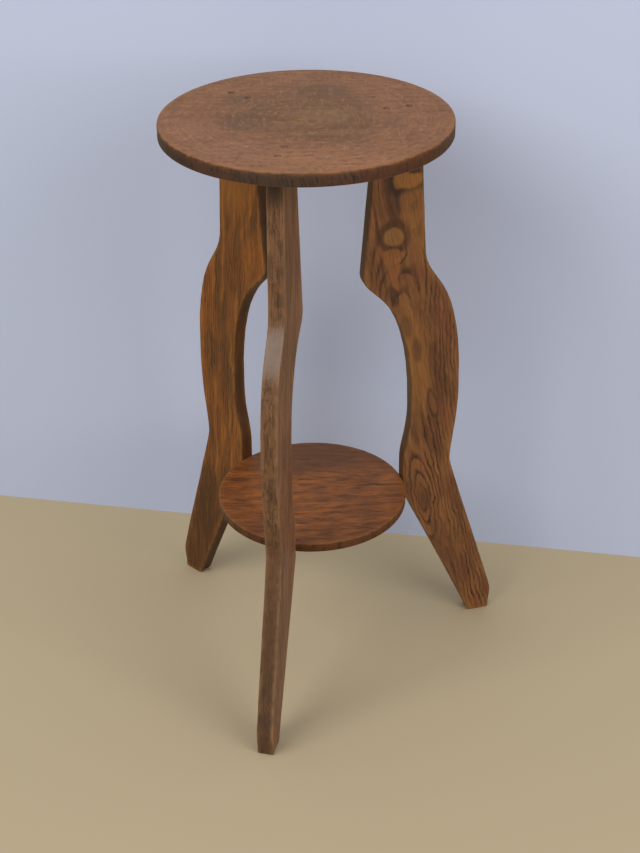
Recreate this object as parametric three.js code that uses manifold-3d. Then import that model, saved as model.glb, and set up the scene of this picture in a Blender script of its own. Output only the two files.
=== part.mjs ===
// Three-legged plant stand: a round top and a small round shelf, carried by three
// serpentine legs that are sawn from board and stand in radial planes, a third of a turn apart.
//
// Millimetres, +Z up, front leg towards -Y. The stand is drawn round its own upright axis, and
// is moved at the end so that the origin lies on the floor, in the middle of the bounding box.
//
// A leg is drawn flat, in its own plane: x is the distance from the stand's axis, y the height
// above the floor. Its outer and inner edges run through a few stations, joined by fair curves.

import * as THREE from "three";
import { mergeVertices } from "three/addons/utils/BufferGeometryUtils.js";
import Module from "manifold-3d";

// ---- Driving dimensions ------------------------------------------------------------------

const clearance = 0.3; // left between a piece and the seat or hole that it fits

// Round top
const standHeight = 696; // floor to the top's upper face
const topRadius = 160;
const topThickness = 16;
const topUpperRound = 2.5; // worn upper arris
const topLowerRound = 1.2;

// Shelf
const shelfHeight = 220; // floor to the shelf's upper face
const shelfRadius = 114;
const shelfThickness = 12;
const shelfRound = 1.5;

// Legs: the board
const boardThickness = 19;
const edgeRound = 1.5; // eased edges along both faces

// Legs: head, under the top
const topOverhang = 31; // rim of the top to the outer edge of a leg's head
const headWidth = 51;
const headLength = 150; // straight part, from the top down to the neck

// Legs: neck, where the outer edge starts to swell
const neckRadius = 136.5;
const neckWidth = 74; // neck to the nose on the inner edge
const noseDrop = 30; // the nose lies this much lower than the neck

// Legs: shoulder, the widest sweep above the shelf
const shoulderRadius = 183;
const shoulderRise = 119; // above the shelf
const shoulderWidth = 60;
const bellyRise = 100; // hollow of the inner edge, above the shelf

// Legs: waist, where the shelf is held
const waistWidth = 60.6; // straight land on the inner edge to the outer edge
const waistRise = 20; // above the shelf
const landAbove = 24; // the land runs on above the shelf
const landBelow = 5; // and below it

// Legs: foot
const toeRadius = 236.5;
const toeHeight = 29;
const toeTuck = 2; // the toe draws in again towards the floor
const footWidth = 27.5;
const footRound = 3.5; // worn corners of the foot

// How long each curve keeps the direction that it leaves a station with, as a part of its rise
const neckPull = 0.28;
const shoulderPull = 0.86;
const shoulderLowPull = 0.43;
const waistHighPull = 0.23;
const waistLowPull = 0.05;
const toePull = 0.05;
const heelPull = 0.6;
const landLowPull = 0.02;
const landHighPull = 0.3;
const bellyLowPull = 0.55;
const bellyHighPull = 0.9;
const nosePull = 0.17;

// Countersunk wood screws, two down through the top into each leg
const screwLength = 45;
const screwShankRadius = 1.75;
const screwCoreRadius = 1.2;
const screwHeadRadius = 3.5;
const screwHeadHeight = 2.6;
const screwThreadLength = 30;
const screwPointLength = 5;
const screwSlotWidth = 1;
const screwSlotDepth = 1.1;
const screwInset = 12.5; // screw to the nearer edge of the leg's head

// Wood plugs that fill the holes above the screws
const plugLength = 5.5;
const plugRadius = screwHeadRadius;
const plugChamfer = 0.4;

// Dowels between the shelf and the legs
const dowelRadius = 3;
const dowelLength = 36;
const dowelChamfer = 1;

// Steps per curve or turn
const outlineSteps = 14;
const roundSteps = 2;
const topSegments = 96;
const shelfSegments = 72;
const holeSegments = 16;

// ---- Dimensions that follow ----------------------------------------------------------------

const topUnderside = standHeight - topThickness;
const legHeight = topUnderside - clearance;
const shelfUnderside = shelfHeight - shelfThickness;
const shelfMiddle = shelfHeight - shelfThickness / 2;

// The shelf's rim is planed flat over a board's thickness where each leg meets it.
const shelfFlat = Math.sqrt(shelfRadius ** 2 - (boardThickness / 2) ** 2);
const landRadius = shelfFlat + clearance;

const headRadius = topRadius - topOverhang;
const neckHeight = legHeight - headLength;
const noseHeight = neckHeight - noseDrop;
const shoulderHeight = shelfHeight + shoulderRise;
const bellyHeight = shelfHeight + bellyRise;
const waistHeight = shelfHeight + waistRise;
const waistRadius = landRadius + waistWidth;
const toeTipRadius = toeRadius - toeTuck;
const heelRadius = toeTipRadius - footWidth;

// Legs, counter-clockwise as seen from above, a like angle apart
const legPlaces = [
  { place: "front", colour: 0x7a5a40 },
  { place: "back_right", colour: 0x6e4c31 },
  { place: "back_left", colour: 0x664225 },
];
const frontTurn = -Math.PI / 2;
const legTurns = legPlaces.map((_, i) => frontTurn + (i * 2 * Math.PI) / legPlaces.length);

const screwRadii = [headRadius - screwInset, headRadius - headWidth + screwInset];
const screwTop = standHeight - plugLength - clearance;

// ---- Solids --------------------------------------------------------------------------------

const wasm = await Module();
wasm.setup();

// A closed geometry as a solid that can be cut.
function toSolid(geometry) {
  const bare = geometry.clone();
  bare.deleteAttribute("normal");
  bare.deleteAttribute("uv");
  const merged = mergeVertices(bare, 1e-4);
  const vertProperties = new Float32Array(merged.attributes.position.array);
  const triVerts = new Uint32Array(merged.index.array);
  return new wasm.Manifold(new wasm.Mesh({ numProp: 3, vertProperties, triVerts }));
}

function toGeometry(solid) {
  const mesh = solid.getMesh();
  const geometry = new THREE.BufferGeometry();
  geometry.setAttribute("position", new THREE.BufferAttribute(mesh.vertProperties, 3));
  geometry.setIndex(new THREE.BufferAttribute(mesh.triVerts, 1));
  geometry.computeVertexNormals();
  return geometry;
}

function cut(geometry, tools) {
  let solid = toSolid(geometry);
  for (const tool of tools) {
    solid = solid.subtract(toSolid(tool));
  }
  return toGeometry(solid);
}

// A body of revolution about Z. The profile runs upwards from the axis to the axis, as
// pairs of radius and height.
function turned(profile, segments) {
  const points = profile.map(([radius, height]) => new THREE.Vector2(radius, height));
  return new THREE.LatheGeometry(points, segments).rotateX(Math.PI / 2);
}

// Half outline of a disc with rounded arrises, its underside at height 0.
function discProfile(radius, thickness, lowerRound, upperRound) {
  const path = new THREE.Path();
  path.moveTo(0, 0);
  path.lineTo(radius - lowerRound, 0);
  path.absarc(radius - lowerRound, lowerRound, lowerRound, -Math.PI / 2, 0);
  path.lineTo(radius, thickness - upperRound);
  path.absarc(radius - upperRound, thickness - upperRound, upperRound, 0, Math.PI / 2);
  path.lineTo(0, thickness);
  return path.getPoints(roundSteps).map((point) => [point.x, point.y]);
}

// ---- Legs ----------------------------------------------------------------------------------

// A fair curve from the pen's place to (radius, height) that leaves and arrives upright.
function sweepTo(shape, radius, height, pullFrom, pullTo) {
  const start = shape.currentPoint;
  const rise = height - start.y;
  shape.bezierCurveTo(
    start.x,
    start.y + rise * pullFrom,
    radius,
    height - rise * pullTo,
    radius,
    height,
  );
}

// The outline of the blank, counter-clockwise from the heel. Above the leg's head it runs on
// by blankSpare, which is sawn off square.
function legOutline(blankSpare) {
  const headLean = (headRadius - neckRadius) / headLength;
  const noseRadius = neckRadius - neckWidth;
  const innerHeadLean = (headRadius - headWidth - noseRadius) / (legHeight - noseHeight);
  const blankTop = legHeight + blankSpare;
  const bellyRadius = shoulderRadius - shoulderWidth;
  const landTop = shelfHeight + landAbove;
  const landBottom = shelfUnderside - landBelow;

  // The heel's edge runs straight up to the land, so its lean at the floor is fixed by both.
  const heelLean = (landRadius - heelRadius) / landBottom;

  const shape = new THREE.Shape();
  shape.moveTo(heelRadius + footRound, 0);

  // Outer edge, upwards
  shape.lineTo(toeTipRadius - footRound, 0);
  shape.quadraticCurveTo(toeTipRadius, 0, toeTipRadius, footRound);
  sweepTo(shape, toeRadius, toeHeight, 0.5, 0.5);
  sweepTo(shape, waistRadius, waistHeight, toePull, waistLowPull);
  sweepTo(shape, shoulderRadius, shoulderHeight, waistHighPull, shoulderLowPull);
  const neckRise = neckHeight - shoulderHeight;
  shape.bezierCurveTo(
    shoulderRadius,
    shoulderHeight + neckRise * shoulderPull,
    neckRadius - headLean * neckRise * neckPull,
    neckHeight - neckRise * neckPull,
    neckRadius,
    neckHeight,
  );
  shape.lineTo(neckRadius + headLean * (blankTop - neckHeight), blankTop);

  // Inner edge, downwards
  shape.lineTo(noseRadius + innerHeadLean * (blankTop - noseHeight), blankTop);
  shape.lineTo(noseRadius, noseHeight);
  sweepTo(shape, bellyRadius, bellyHeight, nosePull, bellyHighPull);
  sweepTo(shape, landRadius, landTop, bellyLowPull, landHighPull);
  shape.lineTo(landRadius, landBottom);
  const heelRise = landBottom - footRound;
  shape.bezierCurveTo(
    landRadius,
    landBottom - heelRise * landLowPull,
    heelRadius + heelLean * heelRise * heelPull,
    footRound + heelRise * heelPull,
    heelRadius + heelLean * footRound,
    footRound,
  );
  shape.quadraticCurveTo(heelRadius, 0, heelRadius + footRound, 0);
  return shape;
}

// A drill that leaves a blind hole with a pointed end, its mouth at the origin, going down -Z.
function blindDrill(radius, depth) {
  const overrun = 1;
  return turned(
    [
      [0, -depth - radius],
      [radius, -depth],
      [radius, overrun],
      [0, overrun],
    ],
    holeSegments,
  );
}

function screwPilots() {
  const engagement = screwLength - (screwTop - topUnderside);
  const depth = engagement + clearance;
  return screwRadii.map((radius) =>
    blindDrill(screwShankRadius + clearance, depth).translate(radius, 0, legHeight),
  );
}

// Pointing outwards along +X, from the land that the shelf butts against.
function legDowelHole() {
  const drill = blindDrill(dowelRadius + clearance, dowelLength / 2 + clearance);
  return drill.rotateY(-Math.PI / 2).translate(landRadius, 0, shelfMiddle);
}

// One leg, in the plane Y = 0 and pointing along +X.
function legGeometry() {
  const blankSpare = 10;
  const blank = new THREE.ExtrudeGeometry(legOutline(blankSpare), {
    depth: boardThickness - 2 * edgeRound,
    bevelThickness: edgeRound,
    bevelSize: edgeRound,
    bevelOffset: -edgeRound,
    bevelSegments: roundSteps,
    curveSegments: outlineSteps,
  });
  blank.rotateX(Math.PI / 2);
  blank.translate(0, boardThickness / 2 - edgeRound, 0);

  const sawSize = 2 * topRadius;
  const saw = new THREE.BoxGeometry(sawSize, sawSize, 2 * blankSpare);
  saw.translate(headRadius, 0, legHeight + blankSpare);
  return cut(blank, [saw, ...screwPilots(), legDowelHole()]);
}

// ---- Top and shelf -------------------------------------------------------------------------

// Cutter for one screw: plug bore, countersink and clearance hole, upright through the top.
function topScrewHole() {
  const overrun = 1;
  const boreRadius = plugRadius + clearance;
  const clearanceRadius = screwShankRadius + clearance;
  const seat = screwTop - clearance;
  return turned(
    [
      [0, topUnderside - overrun],
      [clearanceRadius, topUnderside - overrun],
      [clearanceRadius, seat - screwHeadHeight],
      [boreRadius, seat],
      [boreRadius, standHeight + overrun],
      [0, standHeight + overrun],
    ],
    holeSegments,
  );
}

function topGeometry() {
  const disc = turned(
    discProfile(topRadius, topThickness, topLowerRound, topUpperRound),
    topSegments,
  );
  disc.translate(0, 0, topUnderside);
  const holes = [];
  for (const turn of legTurns) {
    for (const radius of screwRadii) {
      holes.push(topScrewHole().translate(radius, 0, 0).rotateZ(turn));
    }
  }
  return cut(disc, holes);
}

function shelfGeometry() {
  const disc = turned(
    discProfile(shelfRadius, shelfThickness, shelfRound, shelfRound),
    shelfSegments,
  );
  disc.translate(0, 0, shelfUnderside);
  const cutters = [];
  for (const turn of legTurns) {
    const planeSize = 2 * boardThickness;
    const plane = new THREE.BoxGeometry(planeSize, planeSize, 2 * shelfThickness);
    plane.translate(shelfFlat + planeSize / 2, 0, shelfMiddle);
    cutters.push(plane.rotateZ(turn));

    const drill = blindDrill(dowelRadius + clearance, dowelLength / 2 + clearance);
    drill.rotateY(Math.PI / 2).translate(shelfFlat, 0, shelfMiddle);
    cutters.push(drill.rotateZ(turn));
  }
  return cut(disc, cutters);
}

// ---- Fixings -------------------------------------------------------------------------------

// Slotted countersunk wood screw, its point down and the top of its head at the origin.
function screwGeometry() {
  const body = turned(
    [
      [0, -screwLength],
      [screwCoreRadius, -screwLength + screwPointLength],
      [screwCoreRadius, -screwLength + screwThreadLength],
      [screwShankRadius, -screwLength + screwThreadLength + 1],
      [screwShankRadius, -screwHeadHeight],
      [screwHeadRadius, 0],
      [0, 0],
    ],
    holeSegments,
  );
  const slot = new THREE.BoxGeometry(4 * screwHeadRadius, screwSlotWidth, 2 * screwSlotDepth);
  return cut(body, [slot]);
}

// Plug, its lower end at the origin, its upper edge eased.
function plugGeometry() {
  return turned(
    [
      [0, 0],
      [plugRadius, 0],
      [plugRadius, plugLength - plugChamfer],
      [plugRadius - plugChamfer, plugLength],
      [0, plugLength],
    ],
    holeSegments,
  );
}

// Dowel along X, its middle at the origin.
function dowelGeometry() {
  const dowel = turned(
    [
      [0, -dowelLength / 2],
      [dowelRadius - dowelChamfer, -dowelLength / 2],
      [dowelRadius, -dowelLength / 2 + dowelChamfer],
      [dowelRadius, dowelLength / 2 - dowelChamfer],
      [dowelRadius - dowelChamfer, dowelLength / 2],
      [0, dowelLength / 2],
    ],
    holeSegments,
  );
  return dowel.rotateY(Math.PI / 2);
}

// ---- Finishes ------------------------------------------------------------------------------

const stainedOak = (color) => new THREE.MeshStandardMaterial({ color, roughness: 0.55 });
const paleOak = () => new THREE.MeshStandardMaterial({ color: 0xa07c55, roughness: 0.7 });
const darkFiller = () => new THREE.MeshStandardMaterial({ color: 0x54301f, roughness: 0.65 });
const brightSteel = () =>
  new THREE.MeshStandardMaterial({ color: 0x9a9b9d, roughness: 0.4, metalness: 1 });

// ---- The stand -----------------------------------------------------------------------------

function named(name, geometry, material) {
  const mesh = new THREE.Mesh(geometry, material);
  mesh.name = name;
  return mesh;
}

const stand = new THREE.Group();
stand.add(named("top_disc", topGeometry(), stainedOak(0x87644c)));
stand.add(named("shelf_disc", shelfGeometry(), stainedOak(0x744b30)));

legTurns.forEach((turn, i) => {
  const { place, colour } = legPlaces[i];
  const bay = new THREE.Group();
  bay.rotation.z = turn;
  stand.add(bay);

  bay.add(named(`leg_${place}`, legGeometry(), stainedOak(colour)));

  const dowel = named(`shelf_dowel_${place}`, dowelGeometry(), paleOak());
  dowel.position.set(shelfFlat + clearance / 2, 0, shelfMiddle);
  bay.add(dowel);

  screwRadii.forEach((radius, j) => {
    const side = ["outer", "inner"][j];
    const screw = named(`screw_${place}_${side}`, screwGeometry(), brightSteel());
    screw.position.set(radius, 0, screwTop);
    bay.add(screw);

    const plug = named(`plug_${place}_${side}`, plugGeometry(), darkFiller());
    plug.position.set(radius, 0, standHeight - plugLength);
    bay.add(plug);
  });
});

// The front toe reaches further than the top's rim does at the back, so the box's middle lies
// in front of the axis by half the difference.
stand.position.y = (toeRadius - topRadius) / 2;

const part = new THREE.Group();
part.add(stand);

export default part;
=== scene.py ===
# %% [markdown]
# # A three-legged plant stand in stained oak
#
# This lesson dresses a plain CAD model of a small plant stand: a round top, a small round shelf
# and three curved legs sawn from 19 mm board. The CAD model already has every size right, so it is
# loaded first and kept as a fixed frame. All that follows is in metres, in that frame: the floor
# is z = 0 and the front leg points towards -Y.

# %% Load the frame
import math
from functools import partial

import bmesh
import bpy
import numpy as np
from mathutils import Matrix, Vector, geometry, noise


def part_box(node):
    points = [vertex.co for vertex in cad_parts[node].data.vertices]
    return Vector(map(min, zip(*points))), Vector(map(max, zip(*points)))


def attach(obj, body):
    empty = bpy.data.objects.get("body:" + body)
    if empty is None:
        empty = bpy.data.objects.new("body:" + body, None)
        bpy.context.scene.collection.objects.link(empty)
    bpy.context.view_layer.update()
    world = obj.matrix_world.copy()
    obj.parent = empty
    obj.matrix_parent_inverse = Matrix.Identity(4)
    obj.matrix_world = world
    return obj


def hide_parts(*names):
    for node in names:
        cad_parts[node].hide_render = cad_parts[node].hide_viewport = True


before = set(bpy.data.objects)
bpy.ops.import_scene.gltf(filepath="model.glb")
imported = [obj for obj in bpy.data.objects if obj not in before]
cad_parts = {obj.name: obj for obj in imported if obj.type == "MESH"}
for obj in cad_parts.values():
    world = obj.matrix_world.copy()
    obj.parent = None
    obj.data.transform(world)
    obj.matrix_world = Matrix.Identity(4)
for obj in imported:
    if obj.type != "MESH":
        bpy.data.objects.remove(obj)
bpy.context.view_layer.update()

# %% [markdown]
# The sizes of the new pieces are read from the frame and not typed in again. The stand's own
# upright axis is the middle of the top, which is not the middle of the whole stand, because the
# front leg reaches further forward than the top reaches back.

# %% Sizes from the frame
MM = 0.001
top_low, top_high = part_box("top_disc")
shelf_low, shelf_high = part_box("shelf_disc")
leg_low, leg_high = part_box("leg_front")
dowel_low, dowel_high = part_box("shelf_dowel_front")

axis = Vector(((top_low.x + top_high.x) / 2, (top_low.y + top_high.y) / 2, 0))
top_radius = (top_high.x - top_low.x) / 2
board_thickness = leg_high.x - leg_low.x
leg_places = {"front": -90, "back_right": 30, "back_left": 150}


def middle_radius(node):
    """How far the middle of a CAD node lies from the stand's axis."""
    low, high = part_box(node)
    return ((low + high) / 2 - axis).xy.length


screw_circles = [middle_radius("screw_front_outer"), middle_radius("screw_front_inner")]
print("board", round(board_thickness / MM, 2), "mm, screws at", screw_circles)

# %% [markdown]
# ## Camera
#
# The photograph was taken by a standing person who looked down at the stand, a little from the
# right of the front leg. The camera's place was solved together with the stand's own sizes, so
# here it is only written down. A long lens from 2 m away keeps the legs nearly parallel.

# %% Camera
camera_place = Vector((0.42232, -1.57088, 1.29551))
camera_heading = math.radians(14.338)
camera_tilt = math.radians(30.630)
camera_roll = math.radians(-0.732)

camera = bpy.data.objects.new("camera", bpy.data.cameras.new("camera"))
bpy.context.scene.collection.objects.link(camera)
camera.data.lens = 68.47
camera.matrix_world = (
    Matrix.Translation(camera_place)
    @ Matrix.Rotation(camera_heading, 4, "Z")
    @ Matrix.Rotation(math.pi / 2 - camera_tilt, 4, "X")
    @ Matrix.Rotation(camera_roll, 4, "Z")
)
bpy.context.scene.camera = camera
print("camera", round((camera_place - axis).length, 2), "m from the stand's foot")

# %% [markdown]
# ## Building materials from nodes
#
# Each finish below is a small machine of shader nodes. One helper adds a node, sets its
# properties and plugs in its inputs, where an input is a number, a colour or another node.
# Colours are written as the sRGB hex values that a paint program shows, and one function turns
# them into the linear values that a shader works with.

# %% Helpers for nodes and colours
FAMILIES = ("ShaderNode", "GeometryNode", "FunctionNode", "")


def fill(node, values):
    """Fills a node's inputs, given by name or place, with numbers, colours or outputs of others."""
    for place, value in values.items():
        socket = node.inputs[place]
        if isinstance(value, bpy.types.NodeSocket):
            node.id_data.links.new(value, socket)
        elif value is not None:
            socket.default_value = value


def add(tree, kind, *values, out=0, **settings):
    """Adds one node to a tree and gives one of its outputs. kind is the node's type without the
    family that its name starts with. values fill its inputs in order, and None leaves one as it
    is. settings are its properties."""
    node = tree.nodes.new(next(f + kind for f in FAMILIES if hasattr(bpy.types, f + kind)))
    for key, setting in settings.items():
        setattr(node, key, setting)
    places = [i for i, socket in enumerate(node.inputs) if socket.enabled]
    fill(node, dict(zip(places, values)))
    outputs = [socket for socket in node.outputs if socket.enabled]
    return node.outputs[out] if isinstance(out, str) else outputs[out] if outputs else None


def linear(hex_colour):
    """An sRGB hex colour as linear red, green, blue and alpha."""
    values = [int(hex_colour[i : i + 2], 16) / 255 for i in (1, 3, 5)]
    return [v / 12.92 if v <= 0.04045 else ((v + 0.055) / 1.055) ** 2.4 for v in values] + [1]


def new_material(name):
    """An empty material, a function that puts nodes into it, and its Principled shader."""
    material = bpy.data.materials.new(name)
    material.use_nodes = True
    material.node_tree.nodes.clear()
    put = partial(add, material.node_tree)
    shader = put("BsdfPrincipled").node
    put("OutputMaterial", shader.outputs[0])
    return material, put, shader


print("a mid brown in linear values", [round(v, 3) for v in linear("#6E4C31")])

# %% [markdown]
# ## Stage and light
#
# The stand is shown on a plain pale floor before a plain pale backdrop, as in the photograph.
# The backdrop stands close behind the stand. Only the camera sees it, and only from its front,
# so it neither shades the stand nor hides it when the camera walks round to the back.

# %% Floor and backdrop


def flat_sheet(name, corners, colour, roughness):
    """A plain sheet through its corner points, with a plain material of its own."""
    mesh = bpy.data.meshes.new(name)
    mesh.from_pydata(corners, [], [range(len(corners))])
    sheet = bpy.data.objects.new(name, mesh)
    bpy.context.scene.collection.objects.link(sheet)
    material, put, shader = new_material(name)
    fill(shader, {"Base Color": linear(colour), "Roughness": roughness})
    mesh.materials.append(material)
    return sheet, put, shader


floor_reach = 8.0
floor_corners = [(x * floor_reach, y * floor_reach, 0) for x, y in ((-1, -1), (1, -1), (1, 1), (-1, 1))]
flat_sheet("floor", floor_corners, "#B3A487", 0.7)

backdrop_left = Vector((-3.0, 0.110, 0))
backdrop_right = Vector((3.0, 0.455, 0))
backdrop_height = Vector((0, 0, 1.5))
backdrop_corners = [
    backdrop_left,
    backdrop_right,
    backdrop_right + backdrop_height,
    backdrop_left + backdrop_height,
]
backdrop, put, shader = flat_sheet("backdrop", backdrop_corners, "#BCC7E4", 0.9)
seen_from_behind = put("NewGeometry", out="Backfacing")
one_sided = put("MixShader", seen_from_behind, shader.outputs[0], put("BsdfTransparent"))
fill(shader.id_data.nodes["Material Output"], {0: one_sided})
for rays in ("shadow", "diffuse", "glossy", "transmission", "volume_scatter"):
    setattr(backdrop, f"visible_{rays}", False)
print("floor", 2 * floor_reach, "m wide, backdrop", backdrop_height.z, "m high")

# %% [markdown]
# Two large soft lamps stand in front, one to the left above the camera and one to the right, so
# that no shadow is hard, as in the photograph. A pale sky fills in the rest.

# %% Lamps and sky


def soft_lamp(name, place, aim, size, power, colour):
    """A square area lamp that points at aim."""
    lamp = bpy.data.objects.new(name, bpy.data.lights.new(name, "AREA"))
    bpy.context.scene.collection.objects.link(lamp)
    lamp.data.size = size
    lamp.data.energy = power
    lamp.data.color = linear(colour)[:3]
    away = Vector(place) - Vector(aim)
    lamp.matrix_world = Matrix.Translation(place) @ away.to_track_quat("Z", "Y").to_matrix().to_4x4()


lamp_aim = (0, 0, 0.45)
soft_lamp("key lamp", (-1.3, -1.7, 2.3), lamp_aim, 1.6, 38, "#FFFAF2")
soft_lamp("fill lamp", (2.3, -1.4, 1.7), lamp_aim, 1.8, 38, "#FFF8F0")

world = bpy.data.worlds.new("pale sky")
bpy.context.scene.world = world
world.use_nodes = True
fill(world.node_tree.nodes["Background"], {"Color": linear("#F4F4F4"), "Strength": 0.62})
bpy.context.scene.view_settings.view_transform = "Standard"

# %% [markdown]
# ## The oak
#
# All the wood is oak that was stained brown and waxed. Oak is ring-porous: each year's growth
# starts with a band of open pores that drinks up the stain and turns dark, and ends with a dense
# band that stays lighter. Sawn through, the rings show as dark lines. A picture of wood wrapped
# round a board would be wrong on its edges, so the rings here are true sheets in space.
#
# Lengths in a material are in millimetres on the board: across the grain, through the board's
# thickness, and along the grain. A Mapping node turns Object coordinates into these, so each
# board needs only its place and turn. Noise and soft ellipses are laid out in the same lengths.

# %% Helpers for a board
THROUGH = 1e4  # mm, so long that a patch goes right through the board


def leg_board(turn, lean):
    """The place and turn of a leg's board: turned about the axis, its grain leaning outwards."""
    return tuple(axis), (0, -math.radians(lean), math.radians(turn))


def flat_board(height, turn):
    """The place and turn of a disc's board: flat at a height, its grain turned from the Y axis."""
    return (axis.x, axis.y, height), (math.pi / 2, 0, math.radians(turn))


def on_grain(point, lean):
    """A point of the face, turned to across and along the grain."""
    across, along = point
    return (
        across * math.cos(lean) + along * math.sin(lean),
        along * math.cos(lean) - across * math.sin(lean),
    )


def hump(put, where, middle, half_size, shape):
    """1 at a point of the board, falling to 0 at the edge of an ellipse."""
    place = (middle[0], 0, middle[1])
    size = (half_size[0], THROUGH, half_size[1])
    scaled = put("Mapping", where, place, None, size, vector_type="TEXTURE")
    return put("TexGradient", scaled, gradient_type=shape, out="Fac")


def streaks(put, where, size, detail, out="Fac"):
    """Noise whose features are about size mm across the grain, through the board and along it."""
    scaled = put("Mapping", where, None, None, size, vector_type="TEXTURE")
    return put("TexNoise", scaled, 1.0, detail, out=out)


print("100 mm up a grain that leans 11 degrees", np.round(on_grain((0, 100), math.radians(11)), 1))

# %% [markdown]
# The rings' depth in the board is a smooth landscape with a valley, a slope and a few hills, and
# the lines on the face are its contours, as on a map. A knot is a steep hill, and nested arches
# are a long valley. The landscape is read at places that noise has moved a little, because
# nothing in wood is quite straight.

# %% The year rings
RING_PITCH = 3.0  # one year's growth, mm
SMOOTH = {"interpolation_type": "SMOOTHSTEP"}


def bent_grain(put, straight, finish):
    """Places on the board that wander slowly, and waver by a millimetre or so."""
    wander = streaks(put, straight, (38, 38, 95), 2.0, out="Color")
    wander = put("VectorMath", wander, (0.5, 0.5, 0.5), operation="SUBTRACT")
    reach = (finish["wander"], finish["wander"] / 3, 2 * finish["wander"])
    wood = put("VectorMath", wander, reach, straight, operation="MULTIPLY_ADD")
    waver = streaks(put, straight, (7, 20, 16), 1.0, out="Color")
    waver = put("VectorMath", waver, (0.5, 0.5, 0.5), operation="SUBTRACT")
    return put("VectorMath", waver, (finish["waver"], 0, 0), wood, operation="MULTIPLY_ADD")


def ring_depth(put, wood, valley, hills, lean):
    """The landscape of the rings: a valley that may bend along the board, a slope and hills."""
    across, through, along = put("SeparateXYZ", wood).node.outputs
    floor_across, floor_along = on_grain(valley["floor"], lean)
    above = put("Math", along, floor_along, operation="SUBTRACT")
    swept = put("Math", above, above, operation="MULTIPLY")
    off_floor = put("Math", across, floor_across, operation="SUBTRACT")
    off_floor = put("Math", swept, valley["sweep"], off_floor, operation="MULTIPLY_ADD")
    sides = put("CombineXYZ", off_floor, valley["width"])
    sides = put("VectorMath", sides, operation="LENGTH")
    depth = put("Math", sides, valley["slope"], through, operation="MULTIPLY_ADD")
    depth = put("Math", along, valley["climb"], depth, operation="MULTIPLY_ADD")
    for middle, half_size, rise in hills:
        hill = hump(put, wood, on_grain(middle, lean), half_size, "QUADRATIC_SPHERE")
        depth = put("Math", hill, rise, depth, operation="MULTIPLY_ADD")
    return depth


def early_wood(put, depth, straight):
    """How dark the early wood is, 0 to 1: its pores start at once and thin out in half a year."""
    year = put("Math", depth, RING_PITCH, operation="DIVIDE")
    year = put("Math", year, operation="FRACT")
    starts = put("MapRange", year, 0.0, 0.12, 0.0, 1.0, **SMOOTH)
    ends = put("MapRange", year, 0.18, 0.6, 1.0, 0.0, **SMOOTH)
    patchy = streaks(put, straight, (14, 14, 60), 2.0)
    patchy = put("MapRange", patchy, 0.32, 0.6, 0.15, 1.0, **SMOOTH)
    early = put("Math", starts, ends, operation="MULTIPLY")
    return put("Math", early, patchy, operation="MULTIPLY")


print("rings", RING_PITCH, "mm apart, so", round(board_thickness / MM / RING_PITCH, 1), "in a board")

# %% [markdown]
# Stain never takes evenly. Each stain below is a colour and a strength, then either the size of
# its streaks and the noise values between which they fade in, or a middle, half sizes and
# softness for a patch on the face. A few of the patches are painted light and shade, not stain.
# Rubbing in circles with a cloth leaves faint arcs round the middle of a disc.

# %% Stains and polish
COLOURS = {"data_type": "RGBA"}
ARC_WIDTH = 3.6  # mm
ARC_TURN = 1.9  # how much the arcs change on their way round


def stained(put, colour, stains, wood, lean):
    """The colour with each stain, and each patch of painted light and shade, mixed in where its noise is
    strong or inside its patch.
    """
    for stain, strength, *shape in stains:
        if len(shape[0]) == 3:
            size, least, most = shape
            amount = streaks(put, wood, size, 3.0)
        else:
            middle, half_size, most = shape
            least = 0.0
            amount = hump(put, wood, on_grain(middle, lean), half_size, "SPHERICAL")
        amount = put("MapRange", amount, least, most, 0.0, strength, **SMOOTH)
        colour = put("Mix", amount, colour, linear(stain), **COLOURS)
    return colour


def cloth_arcs(put, straight, contrast):
    """A shade round 1 that runs in arcs round the board's middle."""
    across, _, along = put("SeparateXYZ", straight).node.outputs
    flat = put("CombineXYZ", across, along)
    away = put("VectorMath", flat, operation="LENGTH")
    away = put("Math", away, ARC_WIDTH, operation="DIVIDE")
    heading = put("VectorMath", flat, operation="NORMALIZE")
    rounds = put("CombineXYZ", 0.0, 0.0, away)
    turning = (ARC_TURN, ARC_TURN, 0)
    arcs = put("VectorMath", heading, turning, rounds, operation="MULTIPLY_ADD")
    arcs = put("TexNoise", arcs, 1.0, 2.0)
    return put("MapRange", arcs, 0.35, 0.65, 1 - contrast, 1 + contrast)


print("arcs", ARC_WIDTH, "mm apart")

# %% [markdown]
# One function puts the layers on each other, from the ground tone up: a cloudy ground, the rings,
# the pores, the stains and a few patches of painted light and shade, the fibres, the sawn sides,
# which drank more stain than the planed faces, and the arrises, where hands and dusters rub the
# stain off. Wax fills the dense wood and leaves the open pores matt.

# %% Stained oak


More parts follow.
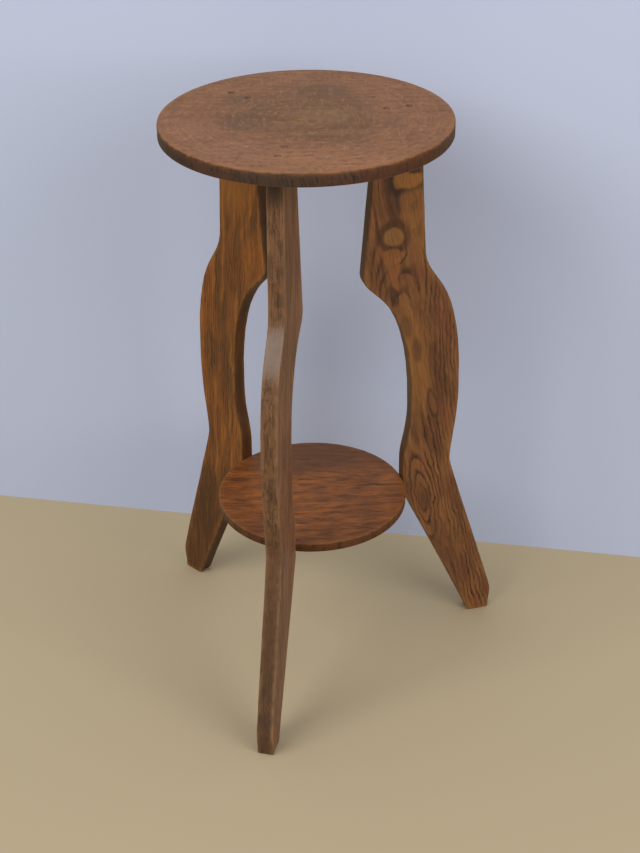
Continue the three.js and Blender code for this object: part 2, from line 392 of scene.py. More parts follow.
def stained_oak(name, board, valley, hills, face_stains_and_painted_light, side_stains_and_painted_light, tones, finish):
    """Stained oak. valley and hills shape its rings, and tones, stains and a few patches of painted light
    and shade colour it.
    """
    material, put, shader = new_material(name)
    place, turned = board
    lean = -turned[1]
    seen = put("TexCoord", out="Object")
    straight = put("Mapping", seen, place, turned, (MM, MM, MM), vector_type="TEXTURE")
    wood = bent_grain(put, straight, finish)
    early = early_wood(put, ring_depth(put, wood, valley, hills, lean), straight)

    # Pores are 0.3 mm wide in real oak, too fine for a pixel, so they are drawn 1.1 mm wide.
    pores = streaks(put, wood, (1.1, 1.1, 11), 1.0)
    pores = put("MapRange", pores, 0.54, 0.64, 0.0, 1.0, **SMOOTH)
    thinning = put("Math", early, 0.7, 0.3, operation="MULTIPLY_ADD")
    pores = put("Math", pores, thinning, operation="MULTIPLY")
    fibres = streaks(put, wood, (1.3, 1.3, finish["fibre"]), 3.0)
    clouds = streaks(put, straight, finish["clouds"], 3.0)

    amount = put("MapRange", clouds, 0.35, 0.65, 0.0, 1.0, **SMOOTH)
    colour = put("Mix", amount, linear(tones["deep"]), linear(tones["light"]), **COLOURS)
    for amount, tone in ((early, "line"), (pores, "pore")):
        stain, strength = tones[tone]
        amount = put("Math", amount, strength, operation="MULTIPLY")
        colour = put("Mix", amount, colour, linear(stain), **COLOURS)
    colour = stained(put, colour, face_stains_and_painted_light, wood, lean)

    contrast = finish["fibre_contrast"]
    shades = [put("MapRange", fibres, 0.3, 0.7, 1 - contrast, 1 + contrast, **SMOOTH)]
    if finish["arcs"]:
        shades.append(cloth_arcs(put, straight, finish["arcs"]))
    for shade in shades:
        colour = put("Mix", 1.0, colour, shade, blend_type="MULTIPLY", **COLOURS)

    stain, strength = tones["side"]
    sawn = put("Mix", strength, colour, linear(stain), **COLOURS)
    sawn = stained(put, sawn, side_stains_and_painted_light, wood, lean)
    side = put("Attribute", attribute_name="side", out="Fac")
    colour = put("Mix", side, colour, sawn, **COLOURS)

    worn = put("Attribute", attribute_name="wear", out="Fac")
    rubbing = streaks(put, straight, (5, 5, 26), 3.0)
    least, most = finish["rubbed"] / 3, finish["rubbed"]
    rubbing = put("MapRange", rubbing, 0.38, 0.62, least, most, **SMOOTH)
    amount = put("Math", worn, rubbing, operation="MULTIPLY")
    colour = put("Mix", amount, colour, linear(tones["edge"]), **COLOURS)

    gloss = put("Math", early, 0.1, finish["roughness"], operation="MULTIPLY_ADD")
    gloss = put("Math", clouds, 0.12, gloss, operation="MULTIPLY_ADD")
    relief = put("Math", early, -0.35, fibres, operation="MULTIPLY_ADD")
    relief = put("Math", pores, -0.6, relief, operation="MULTIPLY_ADD")
    bump = put("Bump", finish["relief"], 0.25 * MM, None, relief)
    surface = {
        "Base Color": colour,
        "Roughness": gloss,
        "Normal": bump,
        "IOR": 1.48,
        "Specular IOR Level": 0.3,
        "Coat Weight": finish["wax"],
        "Coat Roughness": 0.35,
    }
    fill(shader, surface)
    print(name, "has", len(material.node_tree.nodes), "nodes")
    return material


# %% [markdown]
# The back right leg shows the boldest figure: a light knot under the top with a pointed patch
# below it, wavy lines along the outer side, and nested arches where the shelf is held. A board
# sawn close to a knot looks like this. The stains are listed from the streaks all over it to the
# patches that bring out the knot, the arches and the lines.

# %% Oak of the back right leg
leg_finish = {
    "wander": 12,
    "waver": 5,
    "fibre": 45,
    "fibre_contrast": 0.2,
    "clouds": (20, 20, 70),
    "rubbed": 0.7,
    "roughness": 0.45,
    "relief": 0.5,
    "wax": 0.05,
    "arcs": 0,
}
figured_oak = stained_oak(
    "oak, flat sawn with a knot, brown stain and wax",
    leg_board(leg_places["back_right"], 11),
    valley={"floor": (140, 188), "slope": 0.75, "width": 30, "climb": 0.0, "sweep": -0.0003},
    hills=[((141, 190), (36, 130), -14), ((101, 536), (46, 92), 16)],
    face_stains_and_painted_light=[
        ("#73412B", 0.45, (9, 9, 60), 0.46, 0.64),
        ("#83572D", 0.7, (127, 385), (24, 95), 0.5),
        ("#3F271C", 0.7, (96, 600), (12, 46), 0.4),
        ("#3B2517", 0.75, (99, 548), (24, 26), 0.3),
        ("#7F572F", 0.95, (99, 548), (15, 14), 0.3),
        ("#83522C", 0.75, (98, 522), (16, 12), 0.3),
        ("#83522C", 0.75, (99, 509), (9, 17), 0.3),
        ("#83522C", 0.75, (100, 495), (5, 17), 0.3),
        ("#3F291A", 0.5, (86, 504), (3.5, 26), 0.5),
        ("#3F291A", 0.4, (112, 504), (3.5, 26), 0.5),
        ("#3B2618", 0.7, (99, 474), (6, 16), 0.4),
        ("#2F1F17", 0.85, (112, 611), (24, 20), 0.3),
        ("#865829", 0.95, (113, 613), (17, 15), 0.25),
        ("#2C1B13", 0.85, (122, 628), (15, 11), 0.3),
        ("#84572B", 0.6, (126, 572), (18, 42), 0.5),
        ("#432A1C", 0.5, (114, 432), (8, 22), 0.5),
        ("#432A1C", 0.5, (129, 399), (8, 20), 0.5),
        ("#392215", 0.7, (149, 324), (8, 27), 0.3),
        ("#764B2C", 0.8, (150, 325), (5, 21), 0.4),
        ("#492D1D", 0.5, (143, 188), (11, 24), 0.5),
    ],
    side_stains_and_painted_light=[("#32221B", 0.5, (5, 5, 60), 0.45, 0.62)],
    tones={
        "deep": "#603D24",
        "light": "#7F542E",
        "edge": "#986D41",
        "line": ("#3F2616", 0.9),
        "pore": ("#2D1B0F", 0.75),
        "side": ("#442E1C", 0.6),
    },
    finish=leg_finish,
)

# %% [markdown]
# The back left leg is straight grained, a warm brown with golden streaks, lighter under the top
# and darker at the foot. Its sawn sides are darker, partly for the stain they drank and partly as
# painted shade, and a patch of painted shade makes its inner edge darkest over its middle.

# %% Oak of the back left leg
straight_oak = stained_oak(
    "oak, straight grained, brown stain and wax",
    leg_board(leg_places["back_left"], 3),
    valley={"floor": (20, 300), "slope": 0.8, "width": 20, "climb": 0.02, "sweep": 0.0},
    hills=[((100, 545), (30, 70), 9)],
    face_stains_and_painted_light=[
        ("#9D6226", 0.6, (7, 7, 90), 0.5, 0.7),
        ("#A26928", 0.5, (104, 600), (40, 70), 0.8),
        ("#3B2310", 0.6, (190, 60), (120, 170), 0.8),
    ],
    # A patch of painted shade on the sawn inner edge, darkest over its middle.
    side_stains_and_painted_light=[("#2E1D13", 0.6, (70, 400), (50, 230), 0.4)],
    tones={
        "deep": "#613C1A",
        "light": "#7E4B1F",
        "edge": "#9C6B33",
        "line": ("#44270F", 0.6),
        "pore": ("#301B0B", 0.75),
        # The sawn sides are darkened partly for the stain they drank and partly as painted shade.
        "side": ("#30190A", 0.75),
    },
    finish=leg_finish,
)

# %% [markdown]
# The front leg shows its sawn side, where the stain has worn to a brown grey, with fine streaks
# along the grain, and darker near the floor. A pale grey patch where it bulges is a painted sheen,
# and a dark patch under the top is painted shade.

# %% Oak of the front leg
grey_oak = stained_oak(
    "oak, straight grained, stain worn grey",
    leg_board(leg_places["front"], 4),
    valley={"floor": (20, 300), "slope": 0.7, "width": 20, "climb": 0.015, "sweep": 0.0},
    hills=[],
    face_stains_and_painted_light=[
        ("#845E48", 0.45, (9, 9, 120), 0.45, 0.65),
        ("#4A3124", 0.6, (2.5, 2.5, 60), 0.5, 0.64),
    ],
    side_stains_and_painted_light=[
        ("#34251C", 0.5, (10, 10, 16), 0.5, 0.66),
        ("#3A281B", 0.65, (1.8, 1.8, 30), 0.48, 0.64),
        ("#92725A", 0.35, (1.6, 1.6, 36), 0.56, 0.68),
        # A pale grey painted sheen where the sawn side bulges.
        ("#7E7068", 0.65, (160, 490), (40, 34), 0.5),
        ("#3A2819", 0.55, (205, 110), (90, 130), 0.8),
        # Painted shade under the top, which overhangs the head of the leg.
        ("#2E1F17", 0.8, (140, 672), (60, 40), 0.6),
        ("#553A25", 0.5, (170, 180), (120, 130), 0.6),
        ("#3E2A1C", 0.6, (225, 15), (70, 60), 0.6),
    ],
    tones={
        "deep": "#6B4932",
        "light": "#80583E",
        "edge": "#9A7854",
        "line": ("#402A1D", 0.5),
        "pore": ("#2E1E14", 0.6),
        "side": ("#6C4B2F", 0.75),
    },
    finish=leg_finish,
)

# %% [markdown]
# The top's stain has faded to a reddish brown, and a greyer zone with a golden middle is left
# where pots stood. Towards the front rim and the left it is lighter: faded stain with a painted
# sheen over it. Its grain, like the shelf's, runs from side to side as the photograph sees it.
# A point on a disc is given as its distance away from the viewer and to the right. The rim was
# sawn across and along the grain in turn and kept far more stain, with streaks through the board.

# %% Oak of the top
GRAIN_TURN = 90 + 14.7  # brings a disc's grain square to the way the camera looks
top_finish = dict(
    leg_finish, fibre=14, fibre_contrast=0.05, clouds=(26, 26, 34), rubbed=0.7, relief=0.35, arcs=0.1
)
top_oak = stained_oak(
    "oak, flat sawn, faded reddish stain",
    flat_board(top_high.z, GRAIN_TURN),
    valley={"floor": (-20, 0), "slope": 0.3, "width": 60, "climb": 0.01, "sweep": 0.0},
    hills=[],
    face_stains_and_painted_light=[
        ("#6C4B2E", 0.8, (12, -4), (118, 120), 0.8),
        ("#5C3F28", 0.6, (-12, -66), (36, 36), 0.6),
        ("#5E4129", 0.6, (84, 21), (32, 42), 0.6),
        ("#5E4129", 0.5, (-24, 48), (28, 36), 0.6),
        ("#5C3F25", 0.6, (-66, 27), (15, 48), 0.6),
        ("#604229", 0.5, (57, -75), (24, 26), 0.6),
        ("#825E38", 0.6, (2, 16), (38, 46), 0.6),
        # Lighter towards the front rim and the left: faded stain, with a painted sheen over it.
        ("#906147", 0.5, (-105, -75), (50, 70), 0.6),
        ("#976746", 0.6, (-128, 30), (44, 110), 0.6),
        ("#906147", 0.4, (-40, -125), (50, 34), 0.6),
        ("#5A3C27", 0.5, (5, 20, 7), 0.5, 0.66),
        ("#9A724A", 0.45, (9, 20, 5), 0.53, 0.68),
        ("#A07C58", 0.5, (34, 30, 1.4), 0.58, 0.7),
        ("#5E412D", 0.25, (1.8, 1.8, 14), 0.58, 0.72),
    ],
    side_stains_and_painted_light=[
        ("#3F3127", 0.75, (-150, -30), (50, 58), 0.5),
        ("#38221A", 0.8, (-70, -150), (84, 60), 0.5),
        ("#4E2A14", 0.85, (-125, 100), (62, 74), 0.5),
        ("#22160F", 0.35, (6, 60, 6), 0.45, 0.7),
        ("#1E130D", 0.75, (2, 14, 2), 0.5, 0.66),
    ],
    tones={
        "deep": "#7C5135",
        "light": "#8B5D3E",
        "edge": "#96643C",
        "line": ("#62402A", 0.08),
        "pore": ("#523421", 0.3),
        "side": ("#422A1F", 0.95),
    },
    finish=top_finish,
)

# %% [markdown]
# The shelf kept more of its stain, since no sun or pot reaches it: orange brown, with short dark
# streaks from side to side.

# %% Oak of the shelf
shelf_finish = dict(leg_finish, fibre=22, rubbed=0.45, clouds=(20, 20, 40), relief=0.45)
shelf_oak = stained_oak(
    "oak, orange brown stain with dark streaks",
    flat_board(shelf_high.z, GRAIN_TURN),
    valley={"floor": (10, 0), "slope": 0.3, "width": 40, "climb": 0.015, "sweep": 0.0},
    hills=[],
    face_stains_and_painted_light=[
        ("#925520", 0.6, (12, 12, 36), 0.42, 0.66),
        ("#5C3114", 0.5, (9, 9, 26), 0.48, 0.66),
        ("#401F0B", 0.65, (2.4, 2.4, 22), 0.54, 0.66),
        ("#4C2E18", 0.75, (84, 0), (64, 130), 0.7),
        ("#2D180B", 0.7, (12, 86), (4, 34), 0.8),
        ("#482A14", 0.6, (-16, 40), (7, 16), 0.3),
        ("#3C220F", 0.6, (28, -86), (6, 14), 0.3),
    ],
    side_stains_and_painted_light=[("#2D1809", 0.7, (5, 40, 5), 0.5, 0.66)],
    tones={
        "deep": "#71401C",
        "light": "#834B1D",
        "edge": "#8E6233",
        "line": ("#48280D", 0.28),
        "pore": ("#331A08", 0.75),
        "side": ("#4D2911", 0.85),
    },
    finish=shelf_finish,
)

# %% [markdown]
# ## The legs
#
# The three legs were sawn to one pattern, and their edges were shaped by hand. The outline comes
# from the CAD leg: a copy of it is laid flat and sliced a little beside its middle, where no hole
# is in the way. Points that all but coincide are dropped.

# %% Slice the CAD leg
SLICE = 6 * MM  # beside the screw and dowel holes


def sliced_pattern(node, turn):
    """The closed outline of a CAD leg in its own plane, as rows of radius and height."""
    copy = bmesh.new()
    copy.from_mesh(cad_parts[node].data)
    bmesh.ops.remove_doubles(copy, verts=copy.verts, dist=0.01 * MM)
    to_plane = Matrix.Rotation(-math.radians(turn), 4, "Z") @ Matrix.Translation(-axis)
    bmesh.ops.transform(copy, matrix=to_plane, verts=copy.verts)
    everything = [*copy.verts, *copy.edges, *copy.faces]
    level, up = (0, SLICE, 0), (0, 1, 0)
    bmesh.ops.bisect_plane(
        copy, geom=everything, plane_co=level, plane_no=up, clear_inner=True, clear_outer=True
    )
    point = next(iter(copy.verts))
    loop = []
    while point not in loop:
        loop.append(point)
        ahead = [edge.other_vert(point) for edge in point.link_edges]
        point = next((v for v in ahead if v not in loop), loop[0])
    outline = np.array([(v.co.x, v.co.z) for v in loop])
    copy.free()
    following = np.roll(outline, -1, axis=0)
    area = (outline[:, 0] * following[:, 1] - following[:, 0] * outline[:, 1]).sum()
    return outline if area > 0 else outline[::-1]


def spaced(loop, gap):
    """A closed loop without the points that lie nearer than gap to the one before."""
    kept = [loop[0]]
    for point in loop[1:]:
        if np.linalg.norm(point - kept[-1]) > gap and np.linalg.norm(point - kept[0]) > gap:
            kept.append(point)
    return np.array(kept)


slice_points = spaced(sliced_pattern("leg_front", leg_places["front"]), 0.3 * MM)
print("the slice has", len(slice_points), "points")

# %% [markdown]
# A bandsaw follows a fair curve, while the slice is made of short straight pieces. A cubic curve
# through each pair of points mends that. At a point it takes a direction between those of the
# two pieces, except that corners stay sharp and long pieces, such as the sawn head, straight.

# %% Fair the pattern
CORNER = math.radians(12)  # a sharper turn than this stays a corner
STRAIGHT = 24 * MM  # a longer piece than this stays straight
STEP = 2 * MM


def fair_curve(outline):
    """Smooth curves through a closed outline, sampled every STEP, its corners kept."""
    sides = np.roll(outline, -1, axis=0) - outline
    lengths = np.linalg.norm(sides, axis=1)
    headings = sides / lengths[:, None]
    before, after = np.roll(headings, 1, axis=0), headings
    turn_here = np.arccos(np.clip((before * after).sum(1), -1, 1))
    shorter = np.roll(lengths, 1)
    blend = (before * lengths[:, None] + after * shorter[:, None]) / (lengths + shorter)[:, None]
    leaving, arriving = blend.copy(), blend.copy()
    for i in range(len(outline)):
        if lengths[i] > STRAIGHT or turn_here[i] > CORNER:
            leaving[i] = after[i]
        if lengths[i - 1] > STRAIGHT or turn_here[i] > CORNER:
            arriving[i] = before[i]
        if turn_here[i] <= CORNER and lengths[i] > STRAIGHT:
            arriving[i] = after[i]
        if turn_here[i] <= CORNER and lengths[i - 1] > STRAIGHT:
            leaving[i] = before[i]
    points = []
    for i, length in enumerate(lengths):
        j = (i + 1) % len(outline)
        for t in np.linspace(0, 1, max(1, round(length / STEP)), endpoint=False):
            points.append(
                (2 * t**3 - 3 * t**2 + 1) * outline[i]
                + (t**3 - 2 * t**2 + t) * length * leaving[i]
                + (3 * t**2 - 2 * t**3) * outline[j]
                + (t**3 - t**2) * length * arriving[j]
            )
    return np.array(points)


pattern = spaced(fair_curve(slice_points), 0.7 * MM)
pattern[:, 1] = np.maximum(pattern[:, 1], 0)
print("pattern", len(pattern), "points, from", pattern.min(0).round(4), "to", pattern.max(0).round(4))

# %% [markdown]
# Nothing shaped by hand is quite even, so smooth noise will move the leg's faces and edges a
# little. The other helpers measure along the pattern: which way is out, how far off it a point
# is, and which points lie inside it.

# %% Measure along the pattern


def unevenness(seed, *place):
    """Smooth noise from -1 to 1 at a place in metres, with waves about 30 mm long."""
    return noise.noise(Vector(place) / (30 * MM) + Vector((seed, 2.7 * seed, 0.31)))


def outward(loop):
    """The direction out of a closed counter-clockwise loop at each of its points, mitred."""
    ahead = np.roll(loop, -1, axis=0) - loop
    ahead /= np.linalg.norm(ahead, axis=1)[:, None]
    middle = ahead + np.roll(ahead, 1, axis=0)
    middle /= np.linalg.norm(middle, axis=1)[:, None]
    lengthened = 1 / np.maximum((middle * ahead).sum(1), 0.5)
    return np.stack([middle[:, 1], -middle[:, 0]], axis=1) * lengthened[:, None]


def distance_to(loop, points):
    """From each point to the nearest point of a loop."""
    return np.linalg.norm(points[:, None, :] - loop[None, :, :], axis=2).min(1)


def inside(loop, points):
    """Which points lie inside a closed loop: a ray from each crosses it an odd number of times."""
    start, end = loop, np.roll(loop, -1, axis=0)
    rows = points[:, None, 1]
    spans = (start[None, :, 1] > rows) != (end[None, :, 1] > rows)
    rise = np.where(end[:, 1] == start[:, 1], 1, end[:, 1] - start[:, 1])
    crossing = start[:, 0] + (rows - start[:, 1]) / rise * (end[:, 0] - start[:, 0])
    return (spans & (points[:, None, 0] < crossing)).sum(1) % 2 == 1


to_leg = distance_to(pattern, np.zeros((1, 2)))[0]
print("on the floor, the leg stands", to_leg.round(3), "m from the axis")

# %% [markdown]
# The two planed faces are meshed with a loose grid of points that are moved in by a tenth of a
# millimetre or two, as a planed board is never quite flat. Triangles join them to the edge.

# %% The faces of a leg
FACE_GRID = 6 * MM
FACE_MARGIN = 2.5 * MM  # the grid keeps this far from the edge
FACE_HOLLOW = 0.1 * MM


def face_points(loop):
    """A staggered grid of points inside a loop, clear of its edge."""
    low, high = loop.min(0), loop.max(0)
    rows = np.arange(low[1], high[1], FACE_GRID)
    columns = np.arange(low[0], high[0], FACE_GRID)
    grid = np.array([(x + FACE_GRID / 2 * (i % 2), z) for i, z in enumerate(rows) for x in columns])
    grid = grid[inside(loop, grid)]
    return grid[distance_to(loop, grid) > FACE_MARGIN]


def face_sheet(ring, side, seed):
    """A slightly hollow face within its ring of points: its own points and its triangles."""
    edge = ring[:, [0, 2]]
    around = len(edge)
    flat = [Vector(p) for p in np.concatenate([edge, face_points(edge)])]
    border = [(i, (i + 1) % around) for i in range(around)]
    points, _, faces, *_ = geometry.delaunay_2d_cdt(flat, border, [], 1, 1e-7)
    placed = []
    for i, point in enumerate(points):
        hollow = FACE_HOLLOW * (1 + unevenness(seed, point.x, side, point.y))
        level = side * (board_thickness / 2 if i < around else board_thickness / 2 - hollow)
        placed.append((point.x, level, point.y))
    return placed, faces


print("a face has", len(face_points(pattern)), "points inside its outline")

# %% [markdown]
# The arris, the edge between face and side, is a quarter round whose radius changes along the
# way, because it was broken by hand and has worn since. Three more rows of points lie on the sawn
# side between the two arrises.

# %% Rings of points round the edge of a leg
ARRIS_STEPS = 5
ARRIS_RADIUS, ARRIS_SWING = 1.7, 0.9  # mm, and how much it changes along the way
SIDE_WAVE = 0.12 * MM
SIDE_WOBBLE = 0.1 * MM
# The worn corners of the foot and the sawn head leave less room for the arris.
arris_heights = np.array([0, 6, 16, 660, 674, 680]) * MM
arris_room = np.interp(pattern[:, 1], arris_heights, [1.1, 1.1, 2.6, 2.6, 0.5, 0.5])


def edge_ring(loop, inset, level):
    """The points of a loop moved in by an inset, at a level across the board, above the floor."""
    moved = np.maximum(loop - outward(pattern) * inset[:, None], 0)
    return np.stack([moved[:, 0], np.full(len(moved), level), moved[:, 1]], axis=1)


def edge_rings(seed):
    """Rings of points from one face round its arris, over the side and round to the other face."""
    half = board_thickness / 2
    waves = np.array([unevenness(seed, *point, 0.1) for point in pattern])
    loop = pattern - outward(pattern) * (SIDE_WAVE * (1 - waves))[:, None]
    arrises = []
    for side in (-1, 1):
        wear = [unevenness(seed + 5 * side, *point, 0.7 * side) for point in pattern]
        radius = np.minimum(ARRIS_RADIUS + ARRIS_SWING * np.array(wear), arris_room) * MM
        rings = []
        for angle in np.linspace(0, math.pi / 2, ARRIS_STEPS + 1):
            level = side * (half - radius * (1 - math.cos(angle)))
            rings.append(edge_ring(loop, radius * (1 - math.sin(angle)), level))
        arrises.append(rings)
    between = []
    for level in (-0.5 * half, 0, 0.5 * half):
        wobble = [SIDE_WOBBLE * unevenness(seed + 3, *point, 9 * level) for point in pattern]
        between.append(edge_ring(loop, np.abs(wobble), level))
    return arrises[0] + between + arrises[1][::-1]


print(len(edge_rings(0)), "rings of", len(pattern), "points")

# %% [markdown]
# Four small tools make a drill, the round cutter that a Boolean takes away, turn lists of points
# and faces into an object, turn its faces outwards, and keep what a modifier makes of it.

# %% Helpers for meshes


def drill(radius, mouth, direction, depth):
    """A closed round cutter with a pointed end, from just above its mouth down to depth."""
    sides, overrun = 24, 1 * MM
    place = Matrix.Translation(mouth) @ Vector(direction).to_track_quat("Z", "Y").to_matrix().to_4x4()
    ring = [(radius * math.cos(a), radius * math.sin(a)) for a in np.linspace(0, math.tau, sides, False)]
    points = [(x, y, -overrun) for x, y in ring] + [(x, y, depth) for x, y in ring]
    points = [place @ Vector(p) for p in points + [(0, 0, -overrun), (0, 0, depth + radius)]]
    faces = []
    for i in range(sides):
        j = (i + 1) % sides
        faces += [(i, j, sides + j, sides + i), (j, i, 2 * sides), (sides + i, sides + j, 2 * sides + 1)]
    return points, faces


def mesh_object(name, parts):
    """One object from a list of point and face lists."""
    points, faces = [], []
    for new_points, new_faces in parts:
        faces += [tuple(i + len(points) for i in face) for face in new_faces]
        points += [tuple(p) for p in new_points]
    mesh = bpy.data.meshes.new(name)
    mesh.from_pydata(points, [], faces)
    mesh.validate()
    thing = bpy.data.objects.new(name, mesh)
    bpy.context.scene.collection.objects.link(thing)
    return thing


def face_outwards(thing):
    """Merges what lies on one spot and turns all faces outwards."""
    work = bmesh.new()
    work.from_mesh(thing.data)
    bmesh.ops.remove_doubles(work, verts=work.verts, dist=0.005 * MM)
    bmesh.ops.recalc_face_normals(work, faces=work.faces)
    work.to_mesh(thing.data)
    work.free()


def keep_result(thing, modifier):
    """Gives an object the plain mesh that a modifier made of it, and removes the modifier."""
    bpy.context.view_layer.update()
    evaluated = thing.evaluated_get(bpy.context.evaluated_depsgraph_get())
    finished = bpy.data.meshes.new_from_object(evaluated)
    thing.modifiers.remove(modifier)
    thing.data = finished


print("a drill has", len(drill(MM, (0, 0, 0), (0, 0, -1), MM)[0]), "points")

# %% [markdown]
# Two values are stored on every point for the finish: how near the point is to an arris, where
# the stain is rubbed off, and whether it lies on a sawn side, where the stain is darker.

# %% Store the wear
WEAR_WIDTH = 1.6 * MM
SIDE_DEPTH = 1.4 * MM


def store_wear(thing, from_rim, from_face, from_arris):
    """Stores on each point how near it is to a worn arris, and whether it lies on a sawn side."""
    values = {
        "wear": np.exp(-from_arris / WEAR_WIDTH),
        "side": np.clip(SIDE_DEPTH - from_rim, 0, 0.8 * MM) * np.clip(from_face, 0, 1.2 * MM),
    }
    for name, value in values.items():
        layer = thing.data.attributes.new(name, "FLOAT", "POINT")
        layer.data.foreach_set("value", (value / value.max()).astype(np.float32))


print("wear fades over", WEAR_WIDTH / MM, "mm")

# %% [markdown]
# A leg is the rings joined by bands, closed by its two faces, and drilled for the two screws in
# its head and for the shelf's dowel. The leg is made in its own plane and then turned to its
# place.

# %% Build the legs
SCREW_HOLE = 2.05 * MM
DOWEL_HOLE = 3.3 * MM


def leg_holes():
    """Cutters for the screw holes in the head and for the dowel hole in the inner edge."""
    head, screw_end = leg_high.z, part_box("screw_front_outer")[0].z
    holes = [drill(SCREW_HOLE, (circle, 0, head), (0, 0, -1), head - screw_end) for circle in screw_circles]
    height = (dowel_low.z + dowel_high.z) / 2
    land = pattern[np.abs(pattern[:, 1] - height).argsort()[:6], 0].min()
    holes.append(drill(DOWEL_HOLE, (land, 0, height), (1, 0, 0), axis.y - dowel_low.y - land))
    return holes


def build_leg(name, turn, material, seed):
    """One leg, turned to its place."""
    rings = edge_rings(seed)
    around = len(pattern)
    bands = [(i, (i + 1) % around, around + (i + 1) % around, around + i) for i in range(around)]
    parts = [(np.concatenate(pair), bands) for pair in zip(rings, rings[1:])]
    leg = mesh_object(name, parts + [face_sheet(rings[0], -1, seed), face_sheet(rings[-1], 1, seed)])
    face_outwards(leg)

    cutters = mesh_object("leg cutters", leg_holes())
    face_outwards(cutters)
    cutting = leg.modifiers.new("holes", "BOOLEAN")
    cutting.object = cutters
    cutting.operation = "DIFFERENCE"
    cutting.solver = "EXACT"
    keep_result(leg, cutting)
    bpy.data.objects.remove(cutters)

    points = np.array([v.co for v in leg.data.vertices])
    from_rim = distance_to(pattern, points[:, [0, 2]])
    from_face = board_thickness / 2 - np.abs(points[:, 1])
    store_wear(leg, from_rim, from_face, np.hypot(from_rim, from_face))
    leg.data.transform(Matrix.Translation(axis) @ Matrix.Rotation(math.radians(turn), 4, "Z"))
    leg.data.materials.clear()
    leg.data.materials.append(material)
    leg.data.shade_smooth()
    return leg


leg_oaks = {"front": grey_oak, "back_right": figured_oak, "back_left": straight_oak}
for seed, (place, turn) in enumerate(leg_places.items()):
    leg = build_leg(f"shaped_leg_{place}", turn, leg_oaks[place], 11 + seed)
    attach(leg, "root")
    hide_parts(f"leg_{place}")
    print(leg.name, len(leg.data.vertices), "points,", len(leg.data.polygons), "faces")

# %% [markdown]
# ## The round top and the shelf
#
# Both discs follow one rule: a flat board profile with rounded arrises, turned once round the
# axis. That is a job for Geometry Nodes, and one tree with named sizes makes both. The profile is
# a quadrilateral curve whose two outer corners are filleted.

# %% The profile of a disc


def new_tree(name, sizes):
    """A Geometry Nodes tree with named sizes, a function that puts nodes in, and its sockets."""
    tree = bpy.data.node_groups.new(name, "GeometryNodeTree")
    tree.interface.new_socket("Mesh", in_out="OUTPUT", socket_type="NodeSocketGeometry")
    tree.interface.new_socket("Drills", in_out="INPUT", socket_type="NodeSocketGeometry")
    for label, kind in sizes.items():
        tree.interface.new_socket(label, in_out="INPUT", socket_type=f"NodeSocket{kind}")
    put = partial(add, tree)
    return tree, put, put("NodeGroupInput").node.outputs


def disc_profile(put, given):
    """A disc's outline on one side of its axis: x is the distance from the axis, y the depth."""
    radius, thickness = given["Radius"], given["Thickness"]
    profile = put("CurvePrimitiveQuadrilateral", mode="POINTS").node
    corners = {
        "Point 1": (0, 0, 0),
        "Point 2": put("CombineXYZ", radius, 0.0, 0.0),
        "Point 3": put("CombineXYZ", radius, thickness, 0.0),
        "Point 4": put("CombineXYZ", 0.0, thickness, 0.0),
    }
    fill(profile, corners)

    # More points on both faces, three on the rim, then the rounded arrises.
    on_rim = put("Compare", put("InputIndex"), 1, data_type="INT", operation="EQUAL")
    cuts = put("Switch", on_rim, given["Rings"], 3, input_type="INT")
    profile = put("SubdivideCurve", profile.outputs[0], cuts)
    x, y, _ = put("SeparateXYZ", put("InputPosition")).node.outputs
    near_rim = put("Math", x, radius, 0.01 * MM, operation="COMPARE")
    near_top = put("Math", y, 0.0, 0.01 * MM, operation="COMPARE")
    near_bottom = put("Math", y, thickness, 0.01 * MM, operation="COMPARE")
    arris = put("Math", near_top, given["Upper round"], operation="MULTIPLY")
    arris = put("Math", near_bottom, given["Lower round"], arris, operation="MULTIPLY_ADD")
    arris = put("Math", arris, near_rim, operation="MULTIPLY")
    return put("FilletCurve", profile, 6, arris, mode="POLY")


print("the top's profile is", round(top_radius / MM), "by", round((top_high.z - top_low.z) / MM), "mm")

# %% [markdown]
# Noise moves the surface by a tenth of a millimetre or two, most at the rim, which was sawn and
# sanded by hand. The shelf's rim is planed flat where a leg is joined to it: no point lies
# further out, towards a leg, than the flat does.

# %% Uneven and planed surfaces
THIRD = math.tau / 3


def place_round_axis(put):
    """A point's place, its x and y, and its distance from the Z axis."""
    place = put("InputPosition")
    x, y, _ = put("SeparateXYZ", place).node.outputs
    away = put("VectorMath", put("CombineXYZ", x, y, 0.0), operation="LENGTH")
    return place, x, y, away


def uneven(put, disc, given):
    """The disc with its surface moved in by up to its Unevenness, least near the middle."""
    place, _, _, away = place_round_axis(put)
    share = put("Math", away, given["Radius"], operation="DIVIDE")
    share = put("MapRange", share, 0.93, 1.0, 0.35, 1.0)
    seed, scale = given["Seed"], given["Waves per metre"]
    waves = put("TexNoise", place, seed, scale, 2.0, noise_dimensions="4D")
    move = put("Math", waves, 1.0, operation="SUBTRACT")
    for factor in (share, given["Unevenness"]):
        move = put("Math", move, factor, operation="MULTIPLY")
    offset = put("VectorMath", put("InputNormal"), move, operation="SCALE")
    return put("SetPosition", disc, True, None, offset)


